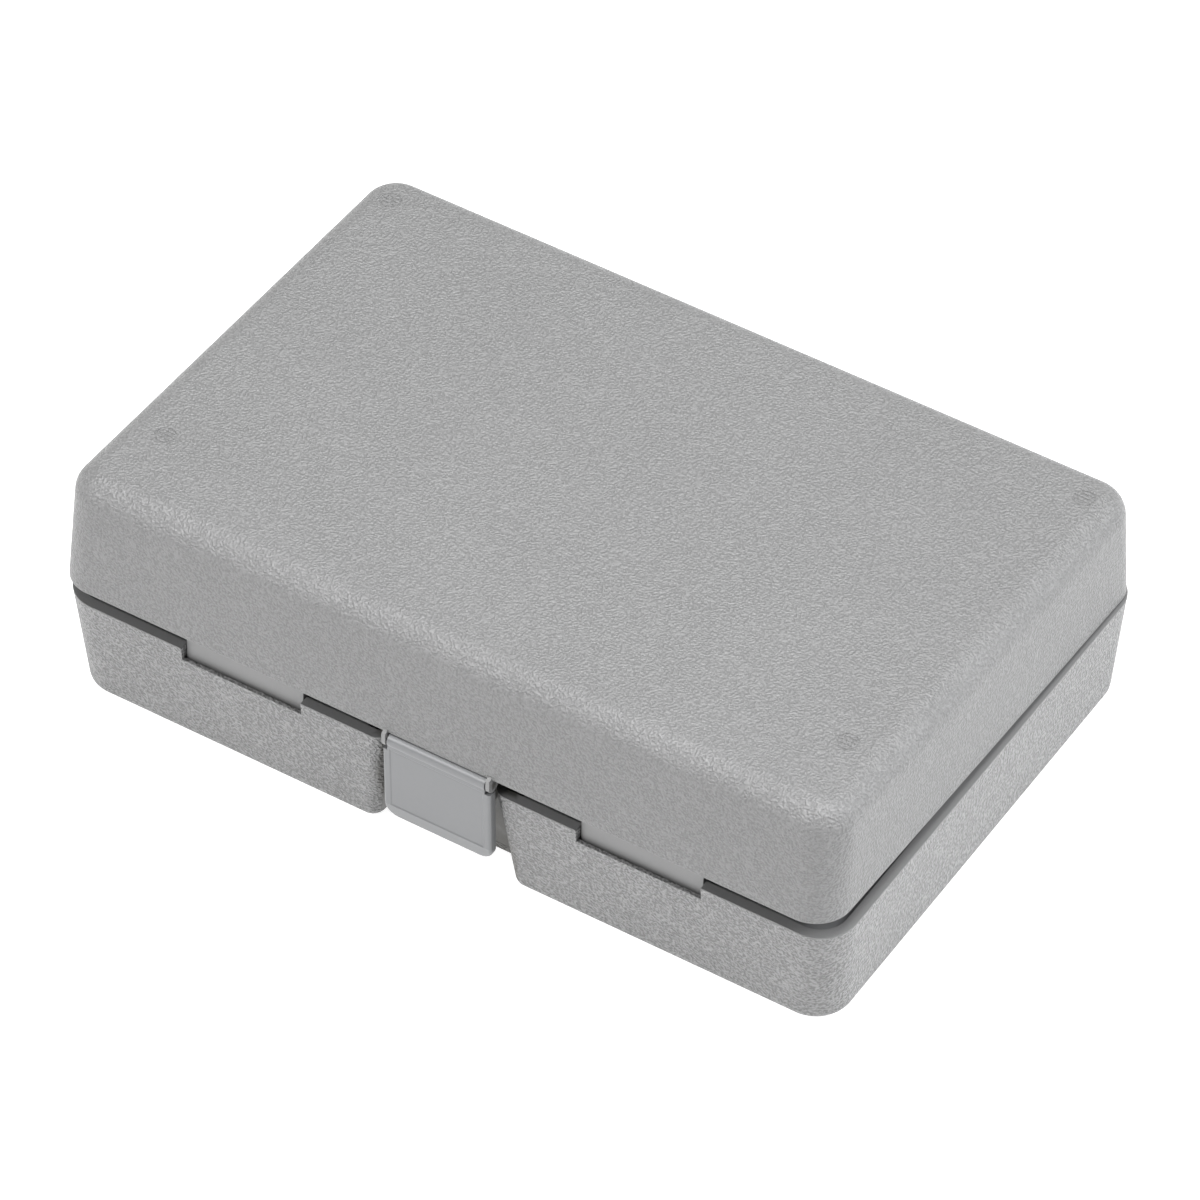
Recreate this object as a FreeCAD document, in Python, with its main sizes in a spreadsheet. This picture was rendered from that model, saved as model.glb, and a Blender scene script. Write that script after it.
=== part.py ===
import FreeCAD, Part
import math
import os

import Sketcher

# Moulded plastic case for a small outside micrometer: base and lid with fitted inserts, two pinned rear hinges
# and a snap tab at the front. Millimetres, +Z up, +X right, -Y to the front with the tab. The origin is the
# middle of the base's underside. The lid stands a little ajar, as it does on the real case when it is shut.
# Every lid piece is drawn level with the base and then turned up about the hinge axis by the ajar angle.

# Driving sizes: alias, value in millimetres or degrees, meaning.
SIZES = [
    ("end_room", 11.05, "micrometer's ends to the base's ends at its rim"),
    ("rear_room", 36.6, "spindle axis to the base's rear rim"),
    ("key_spacing", 43.0, "spanner's slot in front of the spindle axis"),
    ("front_room", 25.6, "spanner's slot to the base's front rim"),
    ("base_height", 23.2, "underside to rim"),
    ("base_corner", 7.2, "upright corner radius of the base"),
    ("base_end_draft", 3.8, "slope of the base's end walls"),
    ("base_front_draft", 4.0, "slope of the base's front and rear walls"),
    ("base_bottom_round", 2.2, "round along the underside's edge"),
    ("lid_end_inset", 0.55, "lid's ends inside the base's at the rims"),
    ("lid_front_overhang", 1.3, "lid's front face in front of the base's at the rims"),
    ("lid_height", 23.3, "rim to top"),
    ("lid_corner", 6.9, "upright corner radius of the lid"),
    ("lid_end_draft", 1.6, "slope of the lid's end walls"),
    ("lid_front_draft", 5.5, "slope of the lid's front and rear walls"),
    ("lid_top_round", 5.0, "round along the top's edge"),
    ("lid_rear_overhang", 0.3, "lid's rear face behind the base's at the rims"),
    ("lid_ajar", 2.25, "angle at which the shut lid stands"),
    ("shut_gap", 0.18, "hinge axis above the base's rim"),
    ("shell_wall", 3.0, "outer walls below the insert's seat"),
    ("rim_wall", 2.0, "outer walls beside the insert"),
    ("floor_wall", 2.0, "floor of the base and roof of the lid"),
    ("rim_step", 2.6, "seat of the insert below the rim"),
    ("insert_skin", 1.6, "thickness of both inserts"),
    ("insert_clearance", 0.3, "insert's edge to the rim wall"),
    ("overrun", 1.0, "how far a cut runs past what it cuts"),
    ("root", 0.8, "how far an added form sinks into its wall"),
    ("hinge_stand_off", 3.5, "hinge axis behind the base's rear rim"),
    ("hinge_inset", 34.55, "middle of each hinge from the base's end"),
    ("knuckle_radius", 2.8, "outer radius of the hinge knuckles"),
    ("middle_knuckle", 10.0, "length of the lid's knuckle"),
    ("outer_knuckle", 6.0, "length of each base knuckle"),
    ("knuckle_gap", 0.3, "play between knuckles along the axis"),
    ("gusset_height", 7.0, "reach of the knuckle's gusset along the wall"),
    ("hinge_pin_radius", 1.25, "hinge pin"),
    ("held_fit", 0.02, "radial gap where a pin is held"),
    ("running_fit", 0.05, "radial gap where a knuckle turns"),
    ("tongue_width", 24.7, "lid tongue along X"),
    ("tongue_inset", 39.4, "middle of each tongue from the base's end"),
    ("tongue_set_back", 1.5, "tongue's face behind the base's front rim"),
    ("tongue_thickness", 1.0, "lid tongue along Y"),
    ("tongue_rest_gap", 0.3, "tongue's foot above the groove's floor"),
    ("notch_side_play", 0.3, "notch beyond the tongue at each end"),
    ("notch_depth", 2.9, "notch below the base's rim"),
    ("lip_thickness", 0.95, "base's lip in front of the tongue"),
    ("groove_depth", 0.8, "groove behind the lip, below its edge"),
    ("latch_width", 22.3, "snap tab along X"),
    ("latch_shift", 1.05, "tab off the middle of its bay, by its side play"),
    ("latch_thickness", 1.7, "plate of the tab"),
    ("latch_length", 18.6, "tab below its axis"),
    ("latch_bevel", 0.6, "bevel along the tab's foot"),
    ("latch_bevel_height", 3.2, "height of that bevel"),
    ("latch_edge_round", 0.6, "round along the tab's upright front edges"),
    ("latch_foot_round", 2.8, "round of the tab's lower corners, seen from the front"),
    ("panel_border", 1.45, "tab's border beside its sunk panel"),
    ("panel_sink", 0.15, "depth of that panel"),
    ("panel_slope", 60.0, "slope of the panel's edges from upright"),
    ("latch_face_step", 0.2, "plate's face behind the barrel's"),
    ("barrel_radius", 1.5, "barrel along the tab's top"),
    ("latch_axis_back", 0.7, "tab's axis behind the lid's front rim"),
    ("latch_axis_gap", 0.3, "barrel below the lid's rim"),
    ("latch_pin_radius", 0.6, "pin through the barrel"),
    ("lug_thickness", 0.8, "each lug beside the barrel, flush with the plate's end"),
    ("lug_gap", 0.3, "play between the tab and each lug"),
    ("hook_reach", 2.8, "hook behind the plate"),
    ("hook_height", 2.4, "hook along Z"),
    ("hook_width", 15.0, "hook along X"),
    ("snap_gap", 0.3, "hook below the catch"),
    ("catch_height", 15.0, "catch's underside above the ground"),
    ("catch_thickness", 2.6, "catch at the bay's back wall"),
    ("catch_width", 17.0, "catch along X"),
    ("catch_gap", 1.2, "catch's nose behind the plate"),
    ("bay_top_width", 22.4, "latch bay along X at the rim"),
    ("bay_bottom_width", 28.0, "latch bay along X at the ground"),
    ("bay_top_depth", 4.5, "bay behind the front rim, at the rim"),
    ("bay_bottom_depth", 7.9, "bay behind the front rim, at the ground"),
    ("bay_wall", 2.0, "walls round the bay"),
    ("bay_corner", 2.8, "round where the bay meets the front"),
    ("vent_radius", 2.05, "round vent mark on the lid's top"),
    ("vent_ring", 0.3, "width of the mark's ring"),
    ("vent_bar", 0.45, "width of the mark's slots"),
    ("vent_pitch", 0.9, "spacing of those slots"),
    ("vent_depth", 0.1, "depth of the mark"),
    ("vent_side", 6.6, "rear marks from the lid's ends at its top"),
    ("vent_rear", 8.2, "rear marks from the lid's rear face at its top"),
    ("vent_front", 18.6, "front marks from the lid's front face at its top"),
    ("vent_front_side", 9.3, "front marks from the lid's ends at its top"),
    ("nest_clearance", 0.6, "nest round the micrometer"),
    ("tool_sink", 1.5, "spindle axis below the tray's face"),
    ("thimble_radius", 9.0, "micrometer's thimble"),
    ("thimble_length", 46.0, "micrometer's thimble"),
    ("ratchet_radius", 6.0, "micrometer's ratchet stop"),
    ("ratchet_length", 17.0, "micrometer's ratchet stop"),
    ("sleeve_radius", 5.0, "micrometer's sleeve and spindle"),
    ("sleeve_length", 12.0, "sleeve between frame and thimble"),
    ("frame_radius", 32.0, "outside of the bow"),
    ("throat_radius", 18.0, "inside of the bow"),
    ("frame_thickness", 10.0, "bow across its flat sides"),
    ("frame_boss", 8.0, "bow's ends beyond the spindle axis"),
    ("scoop_radius", 10.0, "finger scoops beside the thimble"),
    ("scoop_offset", 9.0, "scoops' middles from the spindle axis"),
    ("scoop_depth", 10.4, "finger scoops below the tray's face"),
    ("key_length", 48.0, "slot of the adjusting spanner"),
    ("key_width", 6.0, "slot of the adjusting spanner"),
    ("key_depth", 5.2, "slot of the adjusting spanner"),
    ("relief_end_room", 1.5, "lid liner's recess beyond the micrometer's ends"),
    ("relief_side_room", 8.5, "lid liner's recess beyond the micrometer's bow and thimble"),
    ("relief_height", 10.0, "lid liner's recess along Z"),
    ("relief_corner", 9.0, "corner radius of that recess"),
    ("pad_thickness", 4.0, "foam pad"),
    ("pad_clearance", 0.5, "foam pad's edge to the recess"),
]

# Names of the base's notches and the lid's tongues with their side of the middle.
SIDES = (("left", -1), ("right", 1))

doc = FreeCAD.newDocument("MicrometerCase")
sheet = doc.addObject("Spreadsheet::Sheet", "Sizes")
for row, (alias, size, meaning) in enumerate(SIZES, start=1):
    sheet.set(f"A{row}", alias)
    sheet.set(f"B{row}", str(size))
    sheet.setAlias(f"B{row}", alias)
    sheet.set(f"C{row}", meaning)
doc.recompute()

# The case is laid out round the micrometer: its length and the spanner's slot give the base its size.
TOOL_LENGTH = "(2 * Sizes.frame_radius + Sizes.sleeve_length + Sizes.thimble_length + Sizes.ratchet_length)"
BASE_WIDTH = f"({TOOL_LENGTH} + 2 * Sizes.end_room)"
BASE_DEPTH = "(Sizes.rear_room + Sizes.key_spacing + Sizes.front_room)"
LID_WIDTH = f"({BASE_WIDTH} - 2 * Sizes.lid_end_inset)"
LID_DEPTH = f"({BASE_DEPTH} + Sizes.lid_rear_overhang + Sizes.lid_front_overhang)"

# Places that several pieces share, worked out from the driving sizes.
BASE_FRONT = f"(-{BASE_DEPTH} / 2)"
BASE_REAR = f"({BASE_DEPTH} / 2)"
AXIS_Y = f"({BASE_REAR} + Sizes.hinge_stand_off)"
AXIS_Z = "(Sizes.base_height + Sizes.shut_gap)"
LID_REAR = f"({BASE_REAR} + Sizes.lid_rear_overhang)"
LID_FRONT = f"({BASE_FRONT} - Sizes.lid_front_overhang)"
LID_MIDDLE = f"(({LID_REAR} + {LID_FRONT}) / 2)"
LID_TOP = f"({AXIS_Z} + Sizes.lid_height)"
TRAY_LOW = "(Sizes.base_height - Sizes.rim_step)"
TRAY_FACE = f"({TRAY_LOW} + Sizes.insert_skin)"
TOOL_Y = f"({BASE_REAR} - Sizes.rear_room)"
TOOL_Z = f"({TRAY_FACE} - Sizes.tool_sink)"
FRAME_LEFT = f"(-{TOOL_LENGTH} / 2)"
FRAME_MIDDLE = f"({FRAME_LEFT} + Sizes.frame_radius)"
THIMBLE_START = f"({FRAME_MIDDLE} + Sizes.frame_radius + Sizes.sleeve_length)"
THIMBLE_MIDDLE = f"({THIMBLE_START} + Sizes.thimble_length / 2)"
THIMBLE_END = f"({THIMBLE_START} + Sizes.thimble_length)"
LINER_HIGH = f"({AXIS_Z} + Sizes.rim_step)"
LINER_FACE = f"({LINER_HIGH} - Sizes.insert_skin)"
RELIEF_ROOF = f"({LINER_FACE} + Sizes.relief_height)"
RELIEF_WIDTH = f"({TOOL_LENGTH} + 2 * Sizes.relief_end_room)"
RELIEF_DEPTH = "(Sizes.frame_radius + Sizes.thimble_radius + 2 * Sizes.relief_side_room)"
RELIEF_MIDDLE = f"({TOOL_Y} + (Sizes.thimble_radius - Sizes.frame_radius) / 2)"
TONGUE_FACE = f"({BASE_FRONT} + Sizes.tongue_set_back)"
TONGUE_FOOT = (
    f"({AXIS_Z} - ({AXIS_Y} - {TONGUE_FACE} - Sizes.tongue_thickness) * tan(Sizes.lid_ajar)"
    " - Sizes.shut_gap - Sizes.notch_depth - Sizes.groove_depth + Sizes.tongue_rest_gap)"
)

# The tab's axis, first on the level lid, then where the ajar lid holds it.
LATCH_LEVEL_Y = f"({LID_FRONT} + Sizes.latch_axis_back)"
LATCH_DROP = "(Sizes.barrel_radius + Sizes.latch_axis_gap)"
LATCH_Y = (
    f"({AXIS_Y} - ({AXIS_Y} - {LATCH_LEVEL_Y}) * cos(Sizes.lid_ajar)"
    f" - {LATCH_DROP} * sin(Sizes.lid_ajar))"
)
LATCH_Z = (
    f"({AXIS_Z} + ({AXIS_Y} - {LATCH_LEVEL_Y}) * sin(Sizes.lid_ajar)"
    f" - {LATCH_DROP} * cos(Sizes.lid_ajar))"
)
PLATE_FACE = "(Sizes.latch_face_step - Sizes.barrel_radius)"
PLATE_BACK = f"({PLATE_FACE} + Sizes.latch_thickness)"
BARREL_WIDTH = "(Sizes.latch_width - 2 * Sizes.lug_thickness - 2 * Sizes.lug_gap)"


def value(expression):
    """Number that an expression in the driving sizes gives now."""
    return float(sheet.evalExpression(expression))


def bind(feature, **expressions):
    """Bind the named properties of a feature to expressions."""
    for name, expression in expressions.items():
        feature.setExpression(name, expression)


def new_body(name):
    body = doc.addObject("PartDesign::Body", name)
    body.Label = name
    return body


def attach(body, feature, role, offset):
    """Lay a sketch or primitive on one of its body's origin planes, moved along the plane's normal."""
    plane = next(item for item in body.Origin.OriginFeatures if item.Role == role)
    feature.AttachmentSupport = [(plane, "")]
    feature.MapMode = "FlatFace"
    feature.setExpression(".AttachmentOffset.Base.z", offset)


def new_sketch(body, name, role, offset="0"):
    sketch = body.newObject("Sketcher::SketchObject", f"{name}_outline")
    attach(body, sketch, role, offset)
    return sketch


def dimension(sketch, kind, *places, to):
    """Add one size or distance to a sketch, bound to an expression."""
    index = sketch.addConstraint(Sketcher.Constraint(kind, *places, value(to)))
    sketch.setExpression(f"Constraints[{index}]", to)


def draw_outline(sketch, corners):
    """Closed outline of straight edges through corners given as pairs of expressions."""
    first = sketch.GeometryCount
    points = [FreeCAD.Vector(value(across), value(along), 0) for across, along in corners]
    for start, end in zip(points, points[1:] + points[:1]):
        sketch.addGeometry(Part.LineSegment(start, end))
    for number, (across, along) in enumerate(corners):
        edge = first + number
        after = first + (number + 1) % len(corners)
        sketch.addConstraint(Sketcher.Constraint("Coincident", edge, 2, after, 1))
        dimension(sketch, "DistanceX", -1, 1, edge, 1, to=across)
        dimension(sketch, "DistanceY", -1, 1, edge, 1, to=along)


def draw_box(sketch, left, right, low, high):
    draw_outline(sketch, [(left, low), (right, low), (right, high), (left, high)])


def draw_circle(sketch, across, along, radius):
    middle = FreeCAD.Vector(value(across), value(along), 0)
    circle = sketch.addGeometry(Part.Circle(middle, FreeCAD.Vector(0, 0, 1), value(radius)))
    dimension(sketch, "Radius", circle, to=radius)
    dimension(sketch, "DistanceX", -1, 1, circle, 3, to=across)
    dimension(sketch, "DistanceY", -1, 1, circle, 3, to=along)


def draw_rounded_box(sketch, width, depth, corner, middle_x="0", middle_y="0"):
    """Rectangle with rounded corners about a middle."""
    across, along, radius = value(width) / 2, value(depth) / 2, value(corner)
    centre = FreeCAD.Vector(value(middle_x), value(middle_y), 0)
    quarters = [(across - radius, radius - along, 3), (across - radius, along - radius, 0),
                (radius - across, along - radius, 1), (radius - across, radius - along, 2)]
    arcs = []
    for right, up, turns in quarters:
        middle = centre + FreeCAD.Vector(right, up, 0)
        circle = Part.Circle(middle, FreeCAD.Vector(0, 0, 1), radius)
        arcs.append(Part.ArcOfCircle(circle, turns * math.pi / 2, (turns + 1) * math.pi / 2))
    for arc, after in zip(arcs, arcs[1:] + arcs[:1]):
        sketch.addGeometry(arc)
        sketch.addGeometry(Part.LineSegment(arc.EndPoint, after.StartPoint))
    for edge in range(8):
        sketch.addConstraint(Sketcher.Constraint("Tangent", edge, 2, (edge + 1) % 8, 1))
    for upright, flat in ((1, 3), (5, 7)):
        sketch.addConstraint(Sketcher.Constraint("Vertical", upright))
        sketch.addConstraint(Sketcher.Constraint("Horizontal", flat))
    for arc in (2, 4, 6):
        sketch.addConstraint(Sketcher.Constraint("Equal", 0, arc))
    dimension(sketch, "Radius", 0, to=corner)
    dimension(sketch, "DistanceX", -1, 1, 1, 1, to=f"({middle_x}) + ({width}) / 2")
    dimension(sketch, "DistanceX", -1, 1, 5, 1, to=f"({middle_x}) - ({width}) / 2")
    dimension(sketch, "DistanceY", -1, 1, 3, 1, to=f"({middle_y}) + ({depth}) / 2")
    dimension(sketch, "DistanceY", -1, 1, 7, 1, to=f"({middle_y}) - ({depth}) / 2")


def draw_trough(sketch, middle, axis, radius, mouth):
    """U-shaped section: a half circle below its axis, with straight walls up to the mouth."""
    centre = FreeCAD.Vector(value(middle), value(axis), 0)
    reach, top = value(radius), value(mouth)
    bowl = Part.ArcOfCircle(Part.Circle(centre, FreeCAD.Vector(0, 0, 1), reach), math.pi, 2 * math.pi)
    left, right = centre.x - reach, centre.x + reach
    sketch.addGeometry(bowl)
    sketch.addGeometry(Part.LineSegment(bowl.EndPoint, FreeCAD.Vector(right, top, 0)))
    sketch.addGeometry(Part.LineSegment(FreeCAD.Vector(right, top, 0), FreeCAD.Vector(left, top, 0)))
    sketch.addGeometry(Part.LineSegment(FreeCAD.Vector(left, top, 0), bowl.StartPoint))
    for edge in (0, 3):
        sketch.addConstraint(Sketcher.Constraint("Tangent", edge, 2, (edge + 1) % 4, 1))
    for edge in (1, 2):
        sketch.addConstraint(Sketcher.Constraint("Coincident", edge, 2, edge + 1, 1))
    sketch.addConstraint(Sketcher.Constraint("Vertical", 1))
    sketch.addConstraint(Sketcher.Constraint("Vertical", 3))
    sketch.addConstraint(Sketcher.Constraint("Horizontal", 2))
    dimension(sketch, "Radius", 0, to=radius)
    dimension(sketch, "DistanceX", -1, 1, 0, 3, to=middle)
    dimension(sketch, "DistanceY", -1, 1, 0, 3, to=axis)
    dimension(sketch, "DistanceY", -1, 1, 2, 1, to=mouth)


def draw_bow(sketch, outer, inner, ends):
    """C-shaped outline of a micrometer's frame, open towards +Y, with straight ends beyond the axis."""
    middle = FreeCAD.Vector(value(FRAME_MIDDLE), value(TOOL_Y), 0)
    big, small, top = value(outer), value(inner), value(ends)
    upward = FreeCAD.Vector(0, 0, 1)
    outside = Part.ArcOfCircle(Part.Circle(middle, upward, big), math.pi, 2 * math.pi)
    inside = Part.ArcOfCircle(Part.Circle(middle, upward, small), math.pi, 2 * math.pi)
    corners = [middle + FreeCAD.Vector(across, top, 0) for across in (big, small, -small, -big)]
    sketch.addGeometry(outside)
    sketch.addGeometry(Part.LineSegment(outside.EndPoint, corners[0]))
    sketch.addGeometry(Part.LineSegment(corners[0], corners[1]))
    sketch.addGeometry(Part.LineSegment(corners[1], inside.EndPoint))
    sketch.addGeometry(inside)
    sketch.addGeometry(Part.LineSegment(inside.StartPoint, corners[2]))
    sketch.addGeometry(Part.LineSegment(corners[2], corners[3]))
    sketch.addGeometry(Part.LineSegment(corners[3], outside.StartPoint))
    for edge, its_end, after, start in ((0, 2, 1, 1), (3, 2, 4, 2), (4, 1, 5, 1), (7, 2, 0, 1)):
        sketch.addConstraint(Sketcher.Constraint("Tangent", edge, its_end, after, start))
    for edge in (1, 2, 5, 6):
        sketch.addConstraint(Sketcher.Constraint("Coincident", edge, 2, edge + 1, 1))
    for upright in (1, 3, 5, 7):
        sketch.addConstraint(Sketcher.Constraint("Vertical", upright))
    for flat in (2, 6):
        sketch.addConstraint(Sketcher.Constraint("Horizontal", flat))
    sketch.addConstraint(Sketcher.Constraint("Coincident", 0, 3, 4, 3))
    dimension(sketch, "Radius", 0, to=outer)
    dimension(sketch, "Radius", 4, to=inner)
    dimension(sketch, "DistanceX", -1, 1, 0, 3, to=FRAME_MIDDLE)
    dimension(sketch, "DistanceY", -1, 1, 0, 3, to=TOOL_Y)
    dimension(sketch, "DistanceY", -1, 1, 2, 1, to=f"{TOOL_Y} + {ends}")
    dimension(sketch, "DistanceY", -1, 1, 6, 1, to=f"{TOOL_Y} + {ends}")


def add(body, name, sketch, length, against_normal=False):
    """Add the sketch's outline to the body, extruded along its plane's normal or against it."""
    pad = body.newObject("PartDesign::Pad", name)
    pad.Profile = sketch
    pad.Reversed = against_normal
    bind(pad, Length=length)
    doc.recompute()
    return pad


def cut(body, name, sketch, length, against_normal=False):
    """Cut the sketch's outline out of the body, and make sure that it took something away."""
    before = body.Shape.Volume
    pocket = body.newObject("PartDesign::Pocket", name)
    pocket.Profile = sketch
    pocket.Reversed = not against_normal
    bind(pocket, Length=length)
    doc.recompute()
    if body.Shape.Volume >= before:
        raise RuntimeError(f"{name} cut nothing")
    return pocket


def round_edges(body, name, radius, chosen):
    """Round the edges of the body's last feature that the test picks."""
    last = body.Tip
    edges = [f"Edge{number}" for number, edge in enumerate(last.Shape.Edges, start=1) if chosen(edge.BoundBox)]
    fillet = body.newObject("PartDesign::Fillet", name)
    fillet.Base = (last, edges)
    bind(fillet, Radius=radius)
    doc.recompute()
    return fillet


def add_frustum(body, kind, name, low, high, widths, fronts, backs):
    """Solid between two level rectangles, given by width, front and back at its low and its high face."""
    wedge = body.newObject(f"PartDesign::{kind}Wedge", name)
    attach(body, wedge, "XZ_Plane", "0")
    bind(
        wedge,
        Xmin=f"-({widths[0]}) / 2",
        Xmax=f"({widths[0]}) / 2",
        X2min=f"-({widths[1]}) / 2",
        X2max=f"({widths[1]}) / 2",
        Ymin=low,
        Ymax=high,
        Zmin=f"-({backs[0]})",
        Zmax=f"-({fronts[0]})",
        Z2min=f"-({backs[1]})",
        Z2max=f"-({fronts[1]})",
    )
    doc.recompute()
    return wedge


def add_wedge(body, kind, name, width, depth, height, end_slope, front_slope, low, middle="0"):
    """Box drafted along both directions: full size at its low face, narrower by its slopes at its high one."""
    thinner = f"({height}) * tan({front_slope})"
    return add_frustum(
        body, kind, name, low, f"({low}) + ({height})",
        (width, f"({width}) - 2 * ({height}) * tan({end_slope})"),
        (f"({middle}) - ({depth}) / 2", f"({middle}) - ({depth}) / 2 + {thinner}"),
        (f"({middle}) + ({depth}) / 2", f"({middle}) + ({depth}) / 2 - {thinner}"),
    )


def is_upright(box):
    """True for an edge that rises more than it runs."""
    return box.ZLength > max(box.XLength, box.YLength)


def add_knuckle(body, name, start, length, wall, upwards):
    """Hinge knuckle along X with a gusset on its wall, which rises from the axis or falls from it."""
    side = 1 if upwards else -1
    seat = AXIS_Z if upwards else "Sizes.base_height"
    diagonal = "Sizes.knuckle_radius * sin(45)"
    gusset = new_sketch(body, f"{name}_gusset", "YZ_Plane", start)
    draw_outline(gusset, [
        (f"{wall} - Sizes.root", seat),
        (AXIS_Y, seat),
        (f"{AXIS_Y} + {diagonal}", f"{AXIS_Z} + {side} * {diagonal}"),
        (f"{wall} - Sizes.root", f"{seat} + {side} * Sizes.gusset_height"),
    ])
    add(body, f"{name}_gusset", gusset, length)
    barrel = new_sketch(body, f"{name}_barrel", "YZ_Plane", start)
    draw_circle(barrel, AXIS_Y, AXIS_Z, "Sizes.knuckle_radius")
    add(body, f"{name}_barrel", barrel, length)


def bore_knuckles(body, name, radius):
    bore = new_sketch(body, name, "YZ_Plane", f"-{BASE_WIDTH} / 2")
    draw_circle(bore, AXIS_Y, AXIS_Z, radius)
    cut(body, name, bore, BASE_WIDTH)


def make_base_hollow():
    """What is hollow in the base: its inside and the insert's seat, but not the walls round the latch bay."""
    body = new_body("base_hollow")
    end_slope, front_slope = "Sizes.base_end_draft", "Sizes.base_front_draft"
    rise = "Sizes.base_height - Sizes.floor_wall"
    inner_width = f"{BASE_WIDTH} - 2 * Sizes.shell_wall - 2 * ({rise}) * tan({end_slope})"
    inner_depth = f"{BASE_DEPTH} - 2 * Sizes.shell_wall - 2 * ({rise}) * tan({front_slope})"
    add_wedge(body, "Additive", "inside", inner_width, inner_depth, rise,
              f"-{end_slope}", f"-{front_slope}", "Sizes.floor_wall")
    round_edges(body, "inside_corners", "Sizes.base_corner - Sizes.shell_wall", is_upright)
    seat = new_sketch(body, "seat", "XY_Plane", TRAY_LOW)
    draw_rounded_box(seat, f"{BASE_WIDTH} - 2 * Sizes.rim_wall", f"{BASE_DEPTH} - 2 * Sizes.rim_wall",
                     "Sizes.base_corner - Sizes.rim_wall")
    add(body, "seat", seat, "Sizes.rim_step + Sizes.overrun")
    cut_bay(body, "bay_walls", "Sizes.bay_wall")
    return body


def make_base_shell():
    """Lower outer moulding: drafted box with the insert's seat, latch bay, notches and outer knuckles."""
    body = new_body("base_shell")
    end_slope, front_slope = "Sizes.base_end_draft", "Sizes.base_front_draft"
    foot_width = f"{BASE_WIDTH} - 2 * Sizes.base_height * tan({end_slope})"
    foot_depth = f"{BASE_DEPTH} - 2 * Sizes.base_height * tan({front_slope})"
    add_wedge(body, "Additive", "outside", foot_width, foot_depth, "Sizes.base_height",
              f"-{end_slope}", f"-{front_slope}", "0")
    round_edges(body, "outside_corners", "Sizes.base_corner", is_upright)
    cut_bay(body, "latch_bay", "0")
    front = value(f"{BASE_FRONT} + Sizes.bay_top_depth")
    round_edges(body, "bay_corners", "Sizes.bay_corner", lambda box: is_upright(box) and box.YMax < front
                and max(abs(box.XMin), abs(box.XMax)) < value("Sizes.bay_bottom_width"))
    back = value(f"{BASE_FRONT} + Sizes.bay_bottom_depth - Sizes.root")
    round_edges(body, "underside_round", "Sizes.base_bottom_round", lambda box: box.ZMax < value("Sizes.root")
                and not (box.YMin > back and box.XLength < value("Sizes.bay_bottom_width + Sizes.overrun")
                         and box.YMax < 0))
    hollow = body.newObject("PartDesign::Boolean", "hollow")
    hollow.Type = "Cut"
    hollow.setObjects([make_base_hollow()])
    doc.recompute()

    nose = f"({LATCH_Y} + {PLATE_BACK} + Sizes.catch_gap)"
    back = f"({BASE_FRONT} + Sizes.bay_bottom_depth)"
    top = "(Sizes.catch_height + Sizes.catch_thickness)"
    catch = new_sketch(body, "catch", "YZ_Plane", "-Sizes.catch_width / 2")
    draw_outline(catch, [
        (nose, "Sizes.catch_height"),
        (back, "Sizes.catch_height"),
        (back, f"{top} + Sizes.root"),
        (nose, f"{top} - Sizes.root"),
    ])
    add(body, "catch", catch, "Sizes.catch_width")

    # Two notches in the front rim, each with a groove behind a lip, where the lid's tongues stand.
    lip = "(Sizes.base_height - Sizes.notch_depth)"
    for side, sign in SIDES:
        left, right = tongue_ends(sign, "Sizes.notch_side_play")
        notch = new_sketch(body, f"notch_{side}", "XZ_Plane", f"-({BASE_FRONT}) + Sizes.overrun")
        draw_box(notch, left, right, lip, "Sizes.base_height + Sizes.overrun")
        cut(body, f"notch_{side}", notch, "Sizes.shell_wall + 2 * Sizes.overrun", against_normal=True)
        groove = new_sketch(body, f"groove_{side}", "XZ_Plane", f"-({BASE_FRONT}) - Sizes.lip_thickness")
        draw_box(groove, left, right, f"{lip} - Sizes.groove_depth", f"{lip} + Sizes.overrun")
        cut(body, f"groove_{side}", groove, "Sizes.shell_wall", against_normal=True)

    for side, sign in SIDES:
        hinge = f"({sign} * ({BASE_WIDTH} / 2 - Sizes.hinge_inset))"
        inner = "(Sizes.middle_knuckle / 2 + Sizes.knuckle_gap)"
        add_knuckle(body, f"knuckle_{side}_a", f"{hinge} - {inner} - Sizes.outer_knuckle",
                    "Sizes.outer_knuckle", BASE_REAR, upwards=False)
        add_knuckle(body, f"knuckle_{side}_b", f"{hinge} + {inner}", "Sizes.outer_knuckle", BASE_REAR,
                    upwards=False)
    bore_knuckles(body, "pin_holes", "Sizes.hinge_pin_radius + Sizes.held_fit")
    return body


def cut_bay(body, name, growth):
    """Cut the latch bay, grown by its walls or not, on its own slopes and past the ground and the rim."""
    before = body.Shape.Volume
    flare = "(Sizes.bay_bottom_width - Sizes.bay_top_width) / Sizes.base_height * Sizes.overrun"
    slope = "(Sizes.bay_bottom_depth - Sizes.bay_top_depth) / Sizes.base_height * Sizes.overrun"
    add_frustum(
        body, "Subtractive", name, "-Sizes.overrun", "Sizes.base_height + Sizes.overrun",
        (f"Sizes.bay_bottom_width + {flare} + 2 * {growth}", f"Sizes.bay_top_width - {flare} + 2 * {growth}"),
        (f"{BASE_FRONT} - Sizes.overrun", f"{BASE_FRONT} - Sizes.overrun"),
        (f"{BASE_FRONT} + Sizes.bay_bottom_depth + {slope} + {growth}",
         f"{BASE_FRONT} + Sizes.bay_top_depth - {slope} + {growth}"),
    )
    if body.Shape.Volume >= before:
        raise RuntimeError(f"{name} cut nothing")


def tongue_ends(sign, play):
    """Left and right end of a tongue, widened by a play at each end."""
    middle = f"{sign} * ({BASE_WIDTH} / 2 - Sizes.tongue_inset)"
    reach = f"(Sizes.tongue_width / 2 + {play})"
    return f"{middle} - {reach}", f"{middle} + {reach}"


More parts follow.
